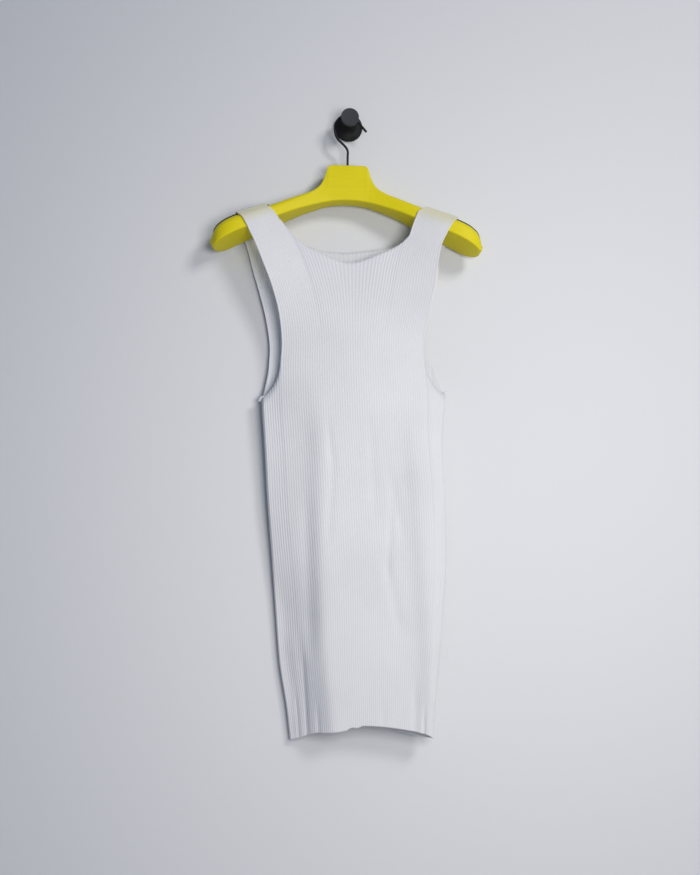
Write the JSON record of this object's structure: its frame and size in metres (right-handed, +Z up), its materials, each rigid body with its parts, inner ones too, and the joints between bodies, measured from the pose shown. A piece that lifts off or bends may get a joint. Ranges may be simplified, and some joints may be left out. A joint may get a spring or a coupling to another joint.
{
  "type": "tank top on a hanger and wall hook",
  "caption": "Long slim sleeveless rib-knit top with a scooped neck and wide straps, hung on a broad painted wooden hanger from a round knob hook on a wall.",
  "frame": {"origin": "middle of the wall hook's plate, on the wall", "axes": "+Z up along the hanging garment, +Y into the wall, +X to the right seen from the front"},
  "size_m": [0.4034, 0.0637, 0.9402],
  "materials": {
    "knit": "white ribbed cotton knit, matt",
    "hanger_paint": "wood under yellow satin paint",
    "grip_rubber": "black, matt",
    "hook_wire": "black satin",
    "wall_hook_coat": "black, fine matt coat"
  },
  "bodies": {
    "root": {"front": "knit", "back": "knit", "hanger_body": "hanger_paint", "grip_left": "grip_rubber", "grip_right": "grip_rubber", "hanger_hook": "hook_wire", "wall_hook": "wall_hook_coat"}
  },
  "joints": []
}
